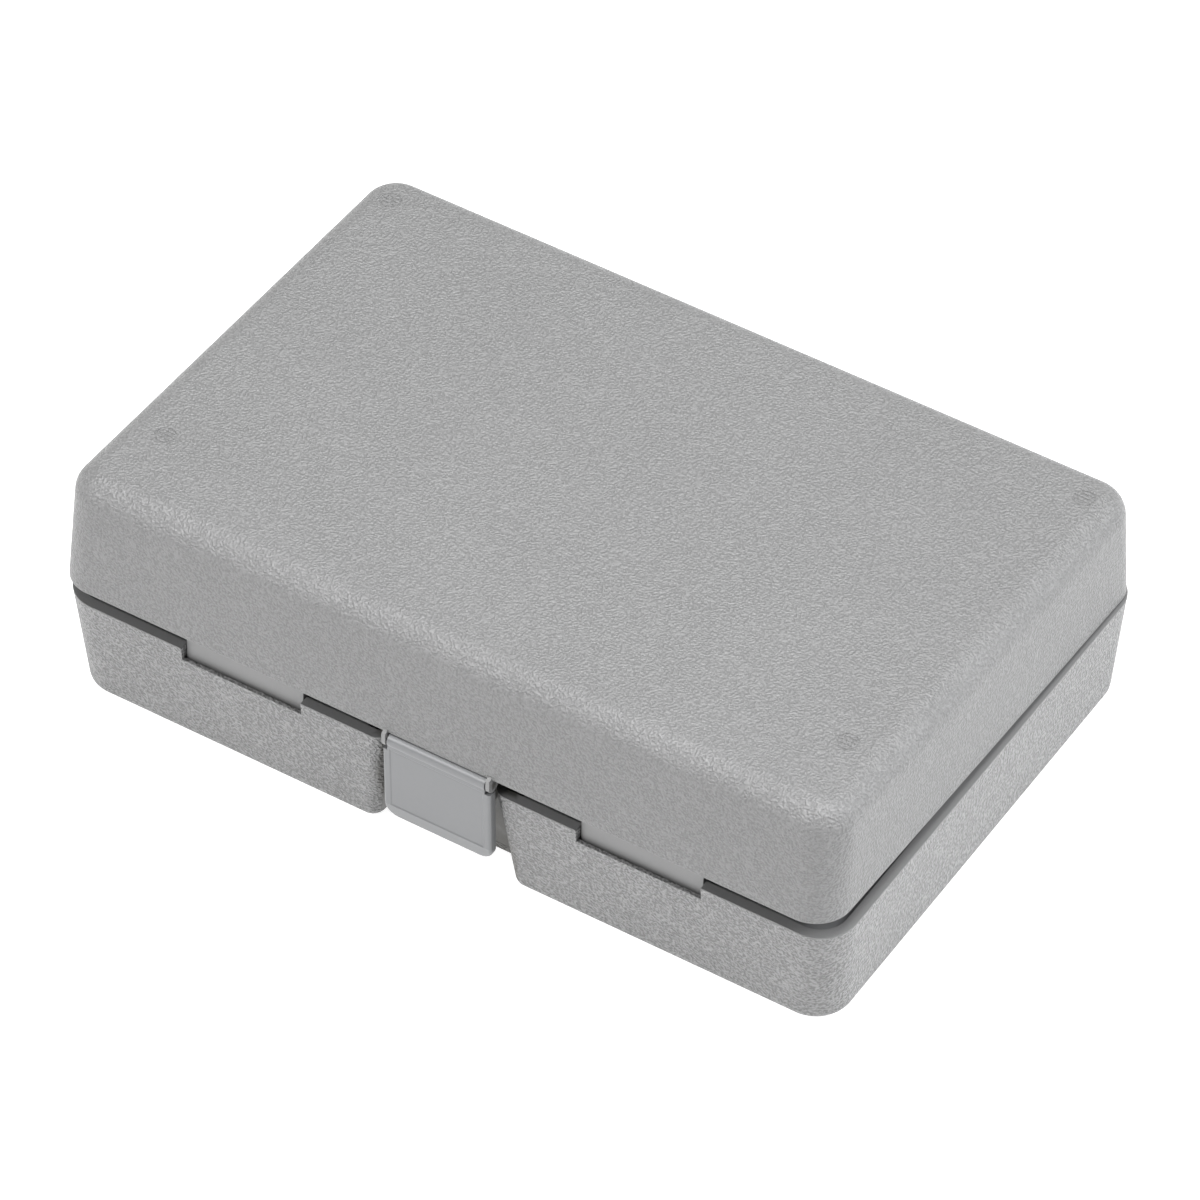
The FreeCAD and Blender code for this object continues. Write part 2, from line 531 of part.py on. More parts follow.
def make_trough(body, name, radius, start, length, growth, shape):
    """Trough along X round part of the tool, grown by a skin or not, added or cut by the given function."""
    sketch = new_sketch(body, name, "YZ_Plane", f"({start}) - ({growth})")
    mouth = TRAY_LOW if shape is add else f"{TRAY_FACE} + Sizes.overrun"
    draw_trough(sketch, TOOL_Y, TOOL_Z, f"{radius} + Sizes.nest_clearance + ({growth})", mouth)
    shape(body, name, sketch, f"({length}) + 2 * ({growth})")


def make_nest(body, stage, growth, shape):
    """All hollows of the nest, as cups grown by the skin or as the cuts inside them."""
    top = TRAY_LOW if shape is add else f"{TRAY_FACE} + Sizes.overrun"
    frame_floor = f"({TOOL_Z} - Sizes.frame_thickness / 2 - Sizes.nest_clearance - ({growth}))"
    bow = new_sketch(body, f"{stage}_frame", "XY_Plane", frame_floor)
    draw_bow(bow, f"Sizes.frame_radius + Sizes.nest_clearance + ({growth})",
             f"Sizes.throat_radius - Sizes.nest_clearance - ({growth})",
             f"(Sizes.frame_boss + Sizes.nest_clearance + ({growth}))")
    shape(body, f"{stage}_frame", bow, f"{top} - {frame_floor}")

    make_trough(body, f"{stage}_sleeve", "Sizes.sleeve_radius", FRAME_LEFT,
                f"{THIMBLE_START} - {FRAME_LEFT}", growth, shape)
    make_trough(body, f"{stage}_thimble", "Sizes.thimble_radius", f"{THIMBLE_START} - Sizes.nest_clearance",
                "Sizes.thimble_length + 2 * Sizes.nest_clearance", growth, shape)
    make_trough(body, f"{stage}_ratchet", "Sizes.ratchet_radius", THIMBLE_END,
                "Sizes.ratchet_length + Sizes.nest_clearance", growth, shape)

    scoop_floor = f"({TRAY_FACE} - Sizes.scoop_depth - ({growth}))"
    for side, sign in (("front", -1), ("rear", 1)):
        scoop = new_sketch(body, f"{stage}_{side}_scoop", "XY_Plane", scoop_floor)
        draw_circle(scoop, THIMBLE_MIDDLE, f"{TOOL_Y} + {sign} * Sizes.scoop_offset",
                    f"Sizes.scoop_radius + ({growth})")
        shape(body, f"{stage}_{side}_scoop", scoop, f"{top} - {scoop_floor}")

    key_floor = f"({TRAY_FACE} - Sizes.key_depth - ({growth}))"
    key = new_sketch(body, f"{stage}_key", "XY_Plane", key_floor)
    draw_rounded_box(key, f"Sizes.key_length + 2 * ({growth})", f"Sizes.key_width + 2 * ({growth})",
                     f"Sizes.key_width / 3 + ({growth})",
                     f"{THIMBLE_END} + Sizes.ratchet_length / 2 - Sizes.key_length / 2",
                     f"{TOOL_Y} - Sizes.key_spacing")
    shape(body, f"{stage}_key", key, f"{top} - {key_floor}")


def make_base_tray():
    """Fitted insert of the base: a plate in the rim with the micrometer's nest moulded into it."""
    body = new_body("base_tray")
    border = "(Sizes.rim_wall + Sizes.insert_clearance)"
    plate = new_sketch(body, "plate", "XY_Plane", TRAY_LOW)
    draw_rounded_box(plate, f"{BASE_WIDTH} - 2 * {border}", f"{BASE_DEPTH} - 2 * {border}",
                     f"Sizes.base_corner - {border}")
    add(body, "plate", plate, "Sizes.insert_skin")
    make_nest(body, "cup", "Sizes.insert_skin", add)
    make_nest(body, "hollow", "0", cut)

    # The plate's front edge is cut away round the latch bay's housing.
    bay = new_sketch(body, "bay_notch", "XY_Plane", f"{TRAY_LOW} - Sizes.overrun")
    half = "(Sizes.bay_bottom_width / 2 + Sizes.bay_wall)"
    draw_box(bay, f"-{half}", half, BASE_FRONT, f"{BASE_FRONT} + Sizes.bay_bottom_depth + Sizes.bay_wall")
    cut(body, "bay_notch", bay, "Sizes.insert_skin + 2 * Sizes.overrun")

    # It is cut back a little behind the lid's tongues too.
    for side, sign in SIDES:
        left, right = tongue_ends(sign, "Sizes.notch_side_play")
        gap = new_sketch(body, f"tongue_gap_{side}", "XY_Plane", f"{TRAY_LOW} - Sizes.overrun")
        draw_box(gap, left, right, BASE_FRONT,
                 f"{TONGUE_FACE} + Sizes.tongue_thickness + Sizes.insert_clearance")
        cut(body, f"tongue_gap_{side}", gap, "Sizes.insert_skin + 2 * Sizes.overrun")
    return body


def tilt(body):
    """Turn a lid piece, drawn level, up about the hinge axis to where the shut lid stands."""
    body.setExpression(
        "Placement",
        f"placement(vector(0; 0; 0); rotation(vector(1; 0; 0); -Sizes.lid_ajar); vector(0; {AXIS_Y}; {AXIS_Z}))",
    )


def make_lid_shell():
    """Upper outer moulding: drafted box with the liner's seat, tongues, latch lugs, knuckles and vent marks."""
    body = new_body("lid_shell")
    end_slope, front_slope = "Sizes.lid_end_draft", "Sizes.lid_front_draft"
    add_wedge(body, "Additive", "outside", LID_WIDTH, LID_DEPTH, "Sizes.lid_height",
              end_slope, front_slope, AXIS_Z, LID_MIDDLE)
    round_edges(body, "outside_corners", "Sizes.lid_corner", is_upright)
    round_edges(body, "top_round", "Sizes.lid_top_round",
                lambda box: box.ZMin > value(f"{LID_TOP} - Sizes.root"))

    rise = "Sizes.lid_height - Sizes.floor_wall"
    add_wedge(body, "Subtractive", "inside", f"{LID_WIDTH} - 2 * Sizes.shell_wall",
              f"{LID_DEPTH} - 2 * Sizes.shell_wall", rise, end_slope, front_slope, AXIS_Z, LID_MIDDLE)
    inner_reach = value(f"{LID_WIDTH} / 2 - Sizes.rim_wall")
    round_edges(body, "inside_corners", "Sizes.lid_corner - Sizes.shell_wall",
                lambda box: is_upright(box) and max(abs(box.XMin), abs(box.XMax)) < inner_reach
                and box.ZMin < value(f"{AXIS_Z} + Sizes.root"))
    seat = new_sketch(body, "seat", "XY_Plane", f"{LINER_HIGH}")
    draw_rounded_box(seat, f"{LID_WIDTH} - 2 * Sizes.rim_wall", f"{LID_DEPTH} - 2 * Sizes.rim_wall",
                     "Sizes.lid_corner - Sizes.rim_wall", middle_y=LID_MIDDLE)
    cut(body, "seat", seat, "Sizes.rim_step + Sizes.overrun", against_normal=True)

    # Tongues that stand in the base's notches and hold the lid ajar, each on a root inside the rim.
    for side, sign in SIDES:
        tongue = new_sketch(body, f"tongue_{side}", "YZ_Plane", tongue_ends(sign, "0")[0])
        draw_outline(tongue, [
            (TONGUE_FACE, TONGUE_FOOT),
            (f"{TONGUE_FACE} + Sizes.tongue_thickness", TONGUE_FOOT),
            (f"{TONGUE_FACE} + Sizes.tongue_thickness", f"{AXIS_Z} + Sizes.root"),
            (f"{LID_FRONT} + Sizes.rim_wall / 2", f"{AXIS_Z} + Sizes.root"),
            (f"{LID_FRONT} + Sizes.rim_wall / 2", AXIS_Z),
            (TONGUE_FACE, AXIS_Z),
        ])
        add(body, f"tongue_{side}", tongue, "Sizes.tongue_width")

    make_latch_lugs(body)

    for side, sign in SIDES:
        start = f"{sign} * ({BASE_WIDTH} / 2 - Sizes.hinge_inset) - Sizes.middle_knuckle / 2"
        add_knuckle(body, f"knuckle_{side}", start, "Sizes.middle_knuckle", LID_REAR, upwards=True)
    bore_knuckles(body, "pin_holes", "Sizes.hinge_pin_radius + Sizes.running_fit")
    make_vent_marks(body)
    tilt(body)
    return body


def make_latch_lugs(body):
    """Two rounded lugs under the lid's front rim, which hold the tab's pin."""
    for side, sign in SIDES:
        outer = f"(Sizes.latch_shift + {sign} * Sizes.latch_width / 2)"
        start = f"{outer} - Sizes.lug_thickness" if sign > 0 else outer
        axis = f"({AXIS_Z} - {LATCH_DROP})"
        stem = new_sketch(body, f"lug_{side}_stem", "YZ_Plane", start)
        draw_outline(stem, [
            (f"{LATCH_LEVEL_Y} - Sizes.barrel_radius", axis),
            (f"{LATCH_LEVEL_Y} + Sizes.barrel_radius", axis),
            (f"{LATCH_LEVEL_Y} + Sizes.barrel_radius", f"{AXIS_Z} + Sizes.root"),
            (LATCH_LEVEL_Y, f"{AXIS_Z} + Sizes.root"),
            (f"{LATCH_LEVEL_Y} - Sizes.barrel_radius", AXIS_Z),
        ])
        add(body, f"lug_{side}_stem", stem, "Sizes.lug_thickness")
        eye = new_sketch(body, f"lug_{side}_eye", "YZ_Plane", start)
        draw_circle(eye, LATCH_LEVEL_Y, axis, "Sizes.barrel_radius")
        add(body, f"lug_{side}_eye", eye, "Sizes.lug_thickness")
    hole = new_sketch(body, "latch_pin_holes", "YZ_Plane", "Sizes.latch_shift - Sizes.latch_width")
    draw_circle(hole, LATCH_LEVEL_Y, f"{AXIS_Z} - {LATCH_DROP}", "Sizes.latch_pin_radius + Sizes.held_fit")
    cut(body, "latch_pin_holes", hole, "2 * Sizes.latch_width")


def make_vent_marks(body):
    """Four shallow round marks near the top's corners, each a ring round three slots."""
    half_width = f"({LID_WIDTH} / 2 - Sizes.lid_height * tan(Sizes.lid_end_draft))"
    rear = f"({LID_REAR} - Sizes.lid_height * tan(Sizes.lid_front_draft) - Sizes.vent_rear)"
    front = f"({LID_FRONT} + Sizes.lid_height * tan(Sizes.lid_front_draft) + Sizes.vent_front)"
    inner = "(Sizes.vent_radius - Sizes.vent_ring)"
    for row, line, margin in (("rear", rear, "Sizes.vent_side"), ("front", front, "Sizes.vent_front_side")):
        for side, sign in SIDES:
            middle = f"({sign} * ({half_width} - {margin}))"
            name = f"vent_{row}_{side}"
            mark = new_sketch(body, name, "XY_Plane", f"{LID_TOP} - Sizes.vent_depth")
            draw_circle(mark, middle, line, "Sizes.vent_radius")
            draw_circle(mark, middle, line, inner)
            for place in (-1, 0, 1):
                bar = f"({line} + {place} * Sizes.vent_pitch)"
                reach = f"sqrt({inner}^2 - ({place} * Sizes.vent_pitch)^2)"
                draw_box(mark, f"{middle} - {reach} + Sizes.vent_ring", f"{middle} + {reach} - Sizes.vent_ring",
                         f"{bar} - Sizes.vent_bar / 2", f"{bar} + Sizes.vent_bar / 2")
            cut(body, name, mark, "Sizes.vent_depth + Sizes.overrun")


def make_lid_liner():
    """Fitted insert of the lid: a plate in the rim with one recess over the micrometer."""
    body = new_body("lid_liner")
    border = "(Sizes.rim_wall + Sizes.insert_clearance)"
    plate = new_sketch(body, "plate", "XY_Plane", LINER_FACE)
    draw_rounded_box(plate, f"{LID_WIDTH} - 2 * {border}", f"{LID_DEPTH} - 2 * {border}",
                     f"Sizes.lid_corner - {border}", middle_y=LID_MIDDLE)
    add(body, "plate", plate, "Sizes.insert_skin")
    cup = new_sketch(body, "cup", "XY_Plane", LINER_FACE)
    skin = "Sizes.insert_skin"
    draw_rounded_box(cup, f"{RELIEF_WIDTH} + 2 * {skin}", f"{RELIEF_DEPTH} + 2 * {skin}",
                     f"Sizes.relief_corner + {skin}", middle_y=RELIEF_MIDDLE)
    add(body, "cup", cup, f"Sizes.relief_height + {skin}")
    relief = new_sketch(body, "relief", "XY_Plane", f"{LINER_FACE} - Sizes.overrun")
    draw_rounded_box(relief, RELIEF_WIDTH, RELIEF_DEPTH, "Sizes.relief_corner",
                     middle_y=RELIEF_MIDDLE)
    cut(body, "relief", relief, "Sizes.relief_height + Sizes.overrun")
    tilt(body)
    return body


def make_lid_pad():
    """Foam pad glued under the roof of the liner's recess."""
    body = new_body("lid_pad")
    slab = new_sketch(body, "slab", "XY_Plane", f"{RELIEF_ROOF} - Sizes.pad_thickness")
    draw_rounded_box(slab, f"{RELIEF_WIDTH} - 2 * Sizes.pad_clearance",
                     f"{RELIEF_DEPTH} - 2 * Sizes.pad_clearance",
                     "Sizes.relief_corner - Sizes.pad_clearance", middle_y=RELIEF_MIDDLE)
    add(body, "slab", slab, "Sizes.pad_thickness")
    tilt(body)
    return body


def make_latch_tab():
    """Snap tab, drawn about its own axis and hung where the ajar lid holds it."""
    body = new_body("latch_tab")
    foot = "(-Sizes.latch_length)"
    plate = new_sketch(body, "plate", "YZ_Plane", "-Sizes.latch_width / 2")
    draw_outline(plate, [
        (PLATE_FACE, "0"),
        (PLATE_FACE, f"{foot} + Sizes.latch_bevel_height"),
        (f"{PLATE_FACE} + Sizes.latch_bevel", foot),
        (PLATE_BACK, foot),
        (PLATE_BACK, "0"),
    ])
    add(body, "plate", plate, "Sizes.latch_width")
    round_edges(body, "foot_rounds", "Sizes.latch_foot_round",
                lambda box: box.YLength > value("Sizes.latch_bevel") and box.ZMax < value(f"{foot} + Sizes.root"))
    front = value(PLATE_FACE)
    round_edges(body, "upright_rounds", "Sizes.latch_edge_round",
                lambda box: is_upright(box) and box.YMax < front + value("Sizes.root") / 4)
    panel = new_sketch(body, "panel", "XZ_Plane", f"-({PLATE_FACE})")
    reach = "(Sizes.latch_width / 2 - Sizes.panel_border)"
    draw_box(panel, f"-{reach}", reach, f"{foot} + Sizes.latch_bevel_height", "-Sizes.barrel_radius")
    bind(cut(body, "panel", panel, "Sizes.panel_sink", against_normal=True), TaperAngle="-Sizes.panel_slope")
    # The plate's top corners make room for the lid's lugs, and the barrel runs between the two.
    for side, sign in SIDES:
        corner = new_sketch(body, f"lug_room_{side}", "XZ_Plane", f"-({PLATE_FACE}) + Sizes.overrun")
        near, far = f"{sign} * {BARREL_WIDTH} / 2", f"{sign} * (Sizes.latch_width / 2 + Sizes.overrun)"
        left, right = (near, far) if sign > 0 else (far, near)
        draw_box(corner, left, right, "-Sizes.barrel_radius - Sizes.lug_gap", "Sizes.overrun")
        cut(body, f"lug_room_{side}", corner, "Sizes.latch_thickness + 2 * Sizes.overrun", against_normal=True)
    barrel = new_sketch(body, "barrel", "YZ_Plane", f"-{BARREL_WIDTH} / 2")
    draw_circle(barrel, "0", "0", "Sizes.barrel_radius")
    add(body, "barrel", barrel, BARREL_WIDTH)
    hook_top = f"(Sizes.catch_height - Sizes.snap_gap - {LATCH_Z})"
    hook = new_sketch(body, "hook", "YZ_Plane", "-Sizes.hook_width / 2")
    draw_outline(hook, [
        (f"{PLATE_BACK} - Sizes.root", hook_top),
        (f"{PLATE_BACK} - Sizes.root", f"{hook_top} - Sizes.hook_height - Sizes.root"),
        (f"{PLATE_BACK} + Sizes.hook_reach", f"{hook_top} - Sizes.hook_height / 2"),
        (f"{PLATE_BACK} + Sizes.hook_reach", hook_top),
    ])
    add(body, "hook", hook, "Sizes.hook_width")
    bore = new_sketch(body, "bore", "YZ_Plane", "-Sizes.latch_width")
    draw_circle(bore, "0", "0", "Sizes.latch_pin_radius + Sizes.running_fit")
    cut(body, "bore", bore, "2 * Sizes.latch_width")
    body.setExpression("Placement.Base", f"vector(Sizes.latch_shift; {LATCH_Y}; {LATCH_Z})")
    return body


def make_pin(name, radius, length, middle, axis_y, axis_z):
    """Straight round pin along X."""
    pin = doc.addObject("Part::Cylinder", name)
    pin.Label = name
    bind(pin, Radius=radius, Height=length)
    pin.setExpression(
        "Placement",
        f"placement(vector(({middle}) - ({length}) / 2; {axis_y}; {axis_z}); rotation(vector(0; 1; 0); 90))",
    )
    return pin


def make_pins():
    hinge_length = "Sizes.middle_knuckle + 2 * Sizes.knuckle_gap + 2 * Sizes.outer_knuckle"
    pins = [make_pin(f"hinge_pin_{side}", "Sizes.hinge_pin_radius", hinge_length,
                     f"{sign} * ({BASE_WIDTH} / 2 - Sizes.hinge_inset)", AXIS_Y, AXIS_Z) for side, sign in SIDES]
    pins.append(make_pin("latch_pin", "Sizes.latch_pin_radius", "Sizes.latch_width", "Sizes.latch_shift",
                         LATCH_Y, LATCH_Z))
    return pins


def check(pieces):
    """Stop unless every object is up to date and every piece is one valid solid."""
    for item in doc.Objects:
        if "Invalid" in item.State or "Error" in item.State:
            raise RuntimeError(f"{item.Label} failed: {item.State}")
    for piece in pieces:
        if piece.Shape.isNull() or not piece.Shape.isValid() or len(piece.Shape.Solids) != 1:
            raise RuntimeError(f"{piece.Label} isn't one valid solid")


pieces = [
    make_base_shell(),
    make_base_tray(),
    make_lid_shell(),
    make_lid_liner(),
    make_lid_pad(),
    make_latch_tab(),
    *make_pins(),
]
doc.recompute()
check(pieces)
os.makedirs("parts", exist_ok=True)
for piece in pieces:
    piece.Shape.exportStep(f"parts/{piece.Label}.step")
    box = piece.Shape.BoundBox
    print(f"{piece.Label}: {piece.Shape.Volume:.0f} mm3, x {box.XMin:.1f} to {box.XMax:.1f}, "
          f"y {box.YMin:.1f} to {box.YMax:.1f}, z {box.ZMin:.1f} to {box.ZMax:.1f}")
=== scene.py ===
import math

import bmesh
import bpy
from mathutils import Matrix, Vector


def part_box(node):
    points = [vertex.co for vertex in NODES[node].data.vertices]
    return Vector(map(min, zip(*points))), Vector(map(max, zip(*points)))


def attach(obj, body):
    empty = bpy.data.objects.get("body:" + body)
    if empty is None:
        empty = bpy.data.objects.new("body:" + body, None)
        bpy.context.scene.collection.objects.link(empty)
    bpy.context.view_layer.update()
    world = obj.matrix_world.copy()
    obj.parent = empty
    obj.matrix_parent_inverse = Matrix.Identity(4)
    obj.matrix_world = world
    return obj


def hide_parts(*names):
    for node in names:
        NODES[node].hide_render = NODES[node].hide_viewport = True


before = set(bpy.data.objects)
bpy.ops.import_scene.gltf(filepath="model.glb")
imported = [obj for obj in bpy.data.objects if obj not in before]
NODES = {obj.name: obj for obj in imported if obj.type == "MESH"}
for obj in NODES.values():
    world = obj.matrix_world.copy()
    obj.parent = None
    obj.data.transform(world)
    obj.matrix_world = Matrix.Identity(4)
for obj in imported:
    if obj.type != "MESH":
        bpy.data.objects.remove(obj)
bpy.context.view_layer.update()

# ---------------------------------------------------------------- sizes of the case

MM = 0.001
BASE_HEIGHT = 23.2 * MM
LID_HEIGHT = 23.3 * MM
LID_AJAR = math.radians(2.25)
# The hinge's axis, with its place behind the base's middle in mm.
HINGE_BACK = 56.1
HINGE = Vector((0.0, HINGE_BACK, 23.38)) * MM
# On the levelled lid, from the hinge forward to the lid's middle.
LID_MIDDLE_AHEAD = 56.6 * MM


# ---------------------------------------------------------------- node helpers


def new_group(name, inputs, outputs):
    """Shader node group with named sockets; returns it with its input and output nodes.

    Each input is (name, type, default) and each output is (name, type).
    """
    group = bpy.data.node_groups.new(name, "ShaderNodeTree")
    for label, kind, default in inputs:
        socket = group.interface.new_socket(label, in_out="INPUT", socket_type=kind)
        if default is not None:
            socket.default_value = default
    for label, kind in outputs:
        group.interface.new_socket(label, in_out="OUTPUT", socket_type=kind)
    return group, node(group, "NodeGroupInput"), node(group, "NodeGroupOutput")


def node(tree, kind, **settings):
    made = tree.nodes.new(kind)
    for name, setting in settings.items():
        setattr(made, name, setting)
    return made


def plug(tree, target, source):
    """Link a socket to an input, or set the input to a plain value."""
    if isinstance(source, bpy.types.NodeSocket):
        tree.links.new(source, target)
    else:
        target.default_value = source


def maths(tree, operation, *operands):
    made = node(tree, "ShaderNodeMath", operation=operation)
    for socket, operand in zip(made.inputs, operands):
        plug(tree, socket, operand)
    return made.outputs[0]


def plus_share(tree, start, value, share):
    """start + value * share"""
    return maths(tree, "ADD", start, maths(tree, "MULTIPLY", value, share))


def minus_share(tree, start, value, share):
    """start - value * share"""
    return maths(tree, "SUBTRACT", start, maths(tree, "MULTIPLY", value, share))


def vector_maths(tree, operation, *operands):
    made = node(tree, "ShaderNodeVectorMath", operation=operation)
    for socket, operand in zip(made.inputs, operands):
        plug(tree, socket, operand)
    return made.outputs["Value" if operation == "DOT_PRODUCT" else "Vector"]


def scaled(tree, vector, factor):
    """A vector or a colour times a number."""
    made = node(tree, "ShaderNodeVectorMath", operation="SCALE")
    plug(tree, made.inputs["Vector"], vector)
    plug(tree, made.inputs["Scale"], factor)
    return made.outputs["Vector"]


def ramp(tree, value, low, high, to_low=0.0, to_high=1.0):
    """Smooth step of a value between two levels."""
    made = node(tree, "ShaderNodeMapRange", interpolation_type="SMOOTHSTEP")
    for name, setting in (("Value", value), ("From Min", low), ("From Max", high),
                          ("To Min", to_low), ("To Max", to_high)):
        plug(tree, made.inputs[name], setting)
    return made.outputs["Result"]


def mix(tree, factor, first, second):
    """Blend of two values, from the first at factor 0 to the second at factor 1."""
    made = node(tree, "ShaderNodeMix", data_type="FLOAT")
    for name, setting in (("Factor", factor), ("A", first), ("B", second)):
        plug(tree, made.inputs[name], setting)
    return made.outputs["Result"]


def noise(tree, vector, rate, detail=0.0):
    """Soft noise from 0 to 1, with so many lumps along each unit of the vector."""
    made = node(tree, "ShaderNodeTexNoise")
    plug(tree, made.inputs["Vector"], vector)
    made.inputs["Scale"].default_value = rate
    made.inputs["Detail"].default_value = detail
    return made.outputs["Fac"]


def place_group(tree, group, **values):
    made = node(tree, "ShaderNodeGroup", node_tree=group)
    for name, setting in values.items():
        plug(tree, made.inputs[name.replace("_", " ")], setting)
    return made


# ---------------------------------------------------------------- shared effects

# The directions in which the grain's worms run, each with a shift that keeps its noise apart from the others'.
WORM_RUNS = (
    ((1.0, 0.0, 0.0), 0.5),
    ((0.3, 1.0, 0.0), 1.7),
    ((-0.7, 0.6, 0.7), 2.9),
    ((0.5, -0.8, 0.6), 4.1),
)
SHIFT_STEPS = (7.0, 3.0, 5.0)
WORM_DETAIL = 0.6
# Patches of one direction are about four and a half grains wide, with soft borders between these noise levels.
PATCH_RATE = 0.22
PATCH_OFFSETS = ((31.0, 17.0, 5.0), (62.0, 17.0, 5.0))
PATCH_BORDERS = ((0.44, 0.56), (0.45, 0.55))
GRAIN_LEVELS = (0.29, 0.69)


def make_leather_grain():
    """Moulded leather grain: short worms that lie in bundles of changing direction."""
    group, inside, out = new_group(
        "leather grain",
        [("Vector", "NodeSocketVector", None), ("Spacing", "NodeSocketFloat", 0.001),
         ("Stretch", "NodeSocketFloat", 0.45)],
        [("Height", "NodeSocketFloat"), ("Valley", "NodeSocketFloat")],
    )
    grains_per_metre = maths(group, "DIVIDE", 1.0, inside.outputs["Spacing"])
    cells = scaled(group, inside.outputs["Vector"], grains_per_metre)
    worms = []
    for direction, shift in WORM_RUNS:
        # Squeeze the cells along the direction, so that the noise stretches there.
        along = tuple(Vector(direction).normalized())
        run = vector_maths(group, "DOT_PRODUCT", cells, along)
        squeeze = maths(group, "SUBTRACT", inside.outputs["Stretch"], 1.0)
        back = scaled(group, along, maths(group, "MULTIPLY", run, squeeze))
        stretched = vector_maths(group, "ADD", cells, back)
        shifted = vector_maths(group, "ADD", stretched, tuple(shift * step for step in SHIFT_STEPS))
        worms.append(noise(group, shifted, 1.0, detail=WORM_DETAIL))
    patches = []
    for offset, (low, high) in zip(PATCH_OFFSETS, PATCH_BORDERS):
        moved = vector_maths(group, "ADD", cells, offset)
        patches.append(ramp(group, noise(group, moved, PATCH_RATE), low, high))
    first = mix(group, patches[0], worms[0], worms[1])
    second = mix(group, patches[0], worms[2], worms[3])
    height = ramp(group, mix(group, patches[1], first, second), *GRAIN_LEVELS)
    plug(group, out.inputs["Height"], height)
    plug(group, out.inputs["Valley"], maths(group, "SUBTRACT", 1.0, height))
    return group


# The outer skin's mask fades out between two depths under the outer form, near the rim and outside the form.
FADE_UNDER_SKIN = (-1.8 * MM, -1.5 * MM)
FADE_AT_RIM = (0.05 * MM, 0.3 * MM)
FADE_OUTSIDE = (0.3 * MM, 0.1 * MM)


def make_skin_mask():
    """1 on the outer skin of a drafted, round-cornered moulding, 0 on its inside, rim, hinges and tongues.

    Z is the height from the rim towards the moulding's flat side.
    """
    group, inside, out = new_group(
        "outer skin",
        [("Vector", "NodeSocketVector", None), ("Half Width", "NodeSocketFloat", 0.08),
         ("Half Depth", "NodeSocketFloat", 0.05), ("Corner", "NodeSocketFloat", 0.007),
         ("End Slope", "NodeSocketFloat", 0.0), ("Front Slope", "NodeSocketFloat", 0.0),
         ("Flat Level", "NodeSocketFloat", 0.0)],
        [("Mask", "NodeSocketFloat")],
    )
    split = node(group, "ShaderNodeSeparateXYZ")
    plug(group, split.inputs[0], inside.outputs["Vector"])
    height = split.outputs["Z"]
    corner = inside.outputs["Corner"]
    reach = []
    for axis, half, slope in (("X", "Half Width", "End Slope"), ("Y", "Half Depth", "Front Slope")):
        wall = minus_share(group, inside.outputs[half], height, inside.outputs[slope])
        core = maths(group, "SUBTRACT", wall, corner)
        reach.append(maths(group, "SUBTRACT", maths(group, "ABSOLUTE", split.outputs[axis]), core))
    # The distance from the outer form, negative inside it, is measured as for a rectangle with round corners.
    squares = []
    for value in reach:
        beyond = maths(group, "MAXIMUM", value, 0.0)
        squares.append(maths(group, "MULTIPLY", beyond, beyond))
    round_part = maths(group, "SQRT", maths(group, "ADD", *squares))
    flat_part = maths(group, "MINIMUM", maths(group, "MAXIMUM", *reach), 0.0)
    distance = maths(group, "SUBTRACT", maths(group, "ADD", round_part, flat_part), corner)
    above_flat = maths(group, "SUBTRACT", height, inside.outputs["Flat Level"])
    walls = ramp(group, distance, *FADE_UNDER_SKIN)
    flat = ramp(group, above_flat, *FADE_UNDER_SKIN)
    skin = maths(group, "MAXIMUM", walls, flat)
    above_rim = ramp(group, height, *FADE_AT_RIM)
    not_outside = ramp(group, distance, *FADE_OUTSIDE)
    mask = maths(group, "MULTIPLY", maths(group, "MULTIPLY", skin, above_rim), not_outside)
    plug(group, out.inputs["Mask"], mask)
    return group


# Dust and painted shade in a box: a cloud breaks it up, and it fades in at the box's sides.
DUST_AND_SHADE_CLOUDS_PER_METRE = 420.0
DUST_AND_SHADE_CLOUD_LEVELS = (0.2, 0.6)
THIN_DUST_AND_SHADE, THICK_DUST_AND_SHADE = 0.7, 1.0
DUST_AND_SHADE_EDGE = 0.6 * MM


def make_dust_and_shade_box():
    """1 inside an upright box with soft sides, broken up by a fine cloud, 0 outside it."""
    group, inside, out = new_group(
        "dust and shade box",
        [("Vector", "NodeSocketVector", None), ("Middle", "NodeSocketVector", None),
         ("Half Size", "NodeSocketVector", None)],
        [("Mask", "NodeSocketFloat")],
    )
    offset = vector_maths(group, "SUBTRACT", inside.outputs["Vector"], inside.outputs["Middle"])
    distances = vector_maths(group, "ABSOLUTE", offset)
    beyond = vector_maths(group, "SUBTRACT", distances, inside.outputs["Half Size"])
    split = node(group, "ShaderNodeSeparateXYZ")
    plug(group, split.inputs[0], beyond)
    sideways = maths(group, "MAXIMUM", split.outputs["X"], split.outputs["Y"])
    largest = maths(group, "MAXIMUM", sideways, split.outputs["Z"])
    in_box = ramp(group, largest, DUST_AND_SHADE_EDGE, -DUST_AND_SHADE_EDGE)
    cloud = noise(group, inside.outputs["Vector"], DUST_AND_SHADE_CLOUDS_PER_METRE, detail=2.0)
    thickness = ramp(group, cloud, *DUST_AND_SHADE_CLOUD_LEVELS, THIN_DUST_AND_SHADE, THICK_DUST_AND_SHADE)
    plug(group, out.inputs["Mask"], maths(group, "MULTIPLY", in_box, thickness))
    return group


MOTTLE_CLOUDS_PER_METRE = 38.0
MOTTLE_SPECKS_PER_METRE = 900.0
MOTTLE_SPECK_SHARE = 0.5


